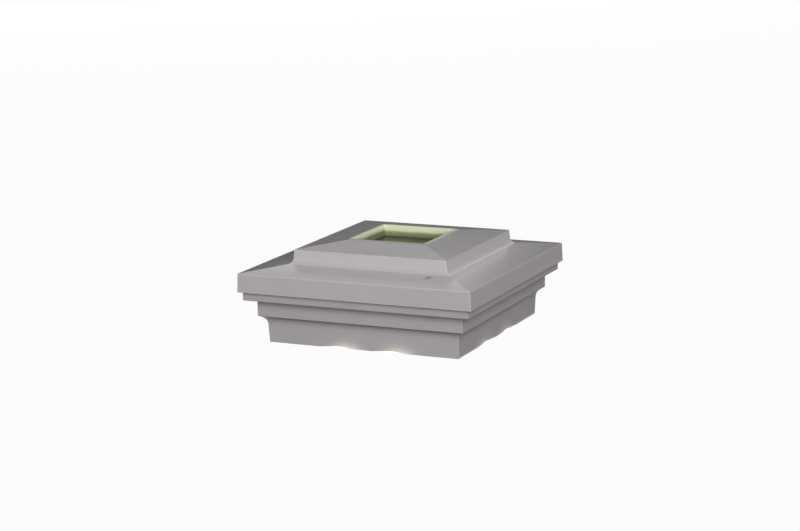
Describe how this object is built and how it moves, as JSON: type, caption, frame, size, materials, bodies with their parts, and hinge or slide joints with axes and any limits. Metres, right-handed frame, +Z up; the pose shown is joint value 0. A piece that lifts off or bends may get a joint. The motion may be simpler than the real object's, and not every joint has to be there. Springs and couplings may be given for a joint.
{
  "type": "deck post cap light",
  "caption": "Square two-tier deck post cap with a solar panel in its roof window and hidden downlights round the inside of its skirt.",
  "frame": {"origin": "centre of the skirt's bottom edge, where the cap stands on a flat surface", "axes": "+Z up through the roof window, -Y towards the front side of the picture, +X to the right"},
  "size_m": [0.164, 0.164, 0.064],
  "materials": {
    "battery_sleeve": "printed sleeve without lettering",
    "black_moulding": "fine texture",
    "black_rubber": "matte",
    "capacitor_can": "drawn can",
    "cell_silicon": "dark solar cell",
    "chip_black": "moulded package",
    "connector_white": "moulded nylon",
    "cream_liner": "translucent, glossy",
    "dark_board": "dark laminate",
    "frosted_lens": "frosted, translucent",
    "green_board": "board lacquer",
    "grey_base": "satin weatherproof moulding",
    "grey_door": "satin weatherproof moulding",
    "grey_shell": "satin weatherproof moulding",
    "inductor_grey": "ferrite",
    "lead_sheath": "smooth sheath",
    "light_chip": "phosphor face",
    "panel_face": "clear resin face, glossy",
    "plated_spring": "nickel plated",
    "ribbon_metal": "tinned ribbon",
    "screw_steel": "stainless, plain",
    "strip_aluminium": "white lacquered strip",
    "switch_metal": "pressed shell",
    "white_channel": "white reflector moulding"
  },
  "bodies": {
    "cap": {"bar_screws": "screw_steel", "base_moulding": "grey_base", "battery_cell": "battery_sleeve", "battery_connector": "connector_white", "battery_holder": "black_moulding", "battery_lead": "lead_sheath", "board_screws": "screw_steel", "case_screws": "screw_steel", "cell_ribbons": "ribbon_metal", "charge_chip": "chip_black", "control_board": "green_board", "controller_chip": "chip_black", "corner_links": "lead_sheath", "door_hinge_pin": "screw_steel", "holder_screws": "screw_steel", "lead_grommet": "black_rubber", "light_channel_back": "white_channel", "light_channel_front": "white_channel", "light_channel_left": "white_channel", "light_channel_right": "white_channel", "light_connector": "connector_white", "light_lead": "lead_sheath", "light_lens_back": "frosted_lens", "light_lens_front": "frosted_lens", "light_lens_left": "frosted_lens", "light_lens_right": "frosted_lens", "light_points_back": "light_chip", "light_points_front": "light_chip", "light_points_left": "light_chip", "light_points_right": "light_chip", "light_strip_back": "strip_aluminium", "light_strip_front": "strip_aluminium", "light_strip_left": "strip_aluminium", "light_strip_right": "strip_aluminium", "negative_contact": "plated_spring", "panel_board": "dark_board", "panel_connector": "connector_white", "panel_cover": "panel_face", "panel_gasket": "black_rubber", "panel_lead": "lead_sheath", "panel_retainer": "black_moulding", "panel_screws": "screw_steel", "positive_contact": "plated_spring", "power_inductor": "inductor_grey", "roof_shell": "grey_shell", "seam_gasket": "black_rubber", "smoothing_capacitor": "capacitor_can", "solar_cells": "cell_silicon", "switch_body": "switch_metal", "window_liner": "cream_liner"},
    "door": {"battery_door": "grey_door"},
    "knob": {"switch_knob": "black_moulding"}
  },
  "joints": [
    {"name": "battery_door_hinge", "type": "hinge", "parent": "cap", "child": "door", "pos_m": [0, -0.0269, 0.0337], "axis": [1, 0, 0], "range_deg": [0, 105]},
    {"name": "power_switch_slide", "type": "slide", "parent": "cap", "child": "knob", "axis": [1, 0, 0], "range_m": [0, 0.0025]}
  ]
}
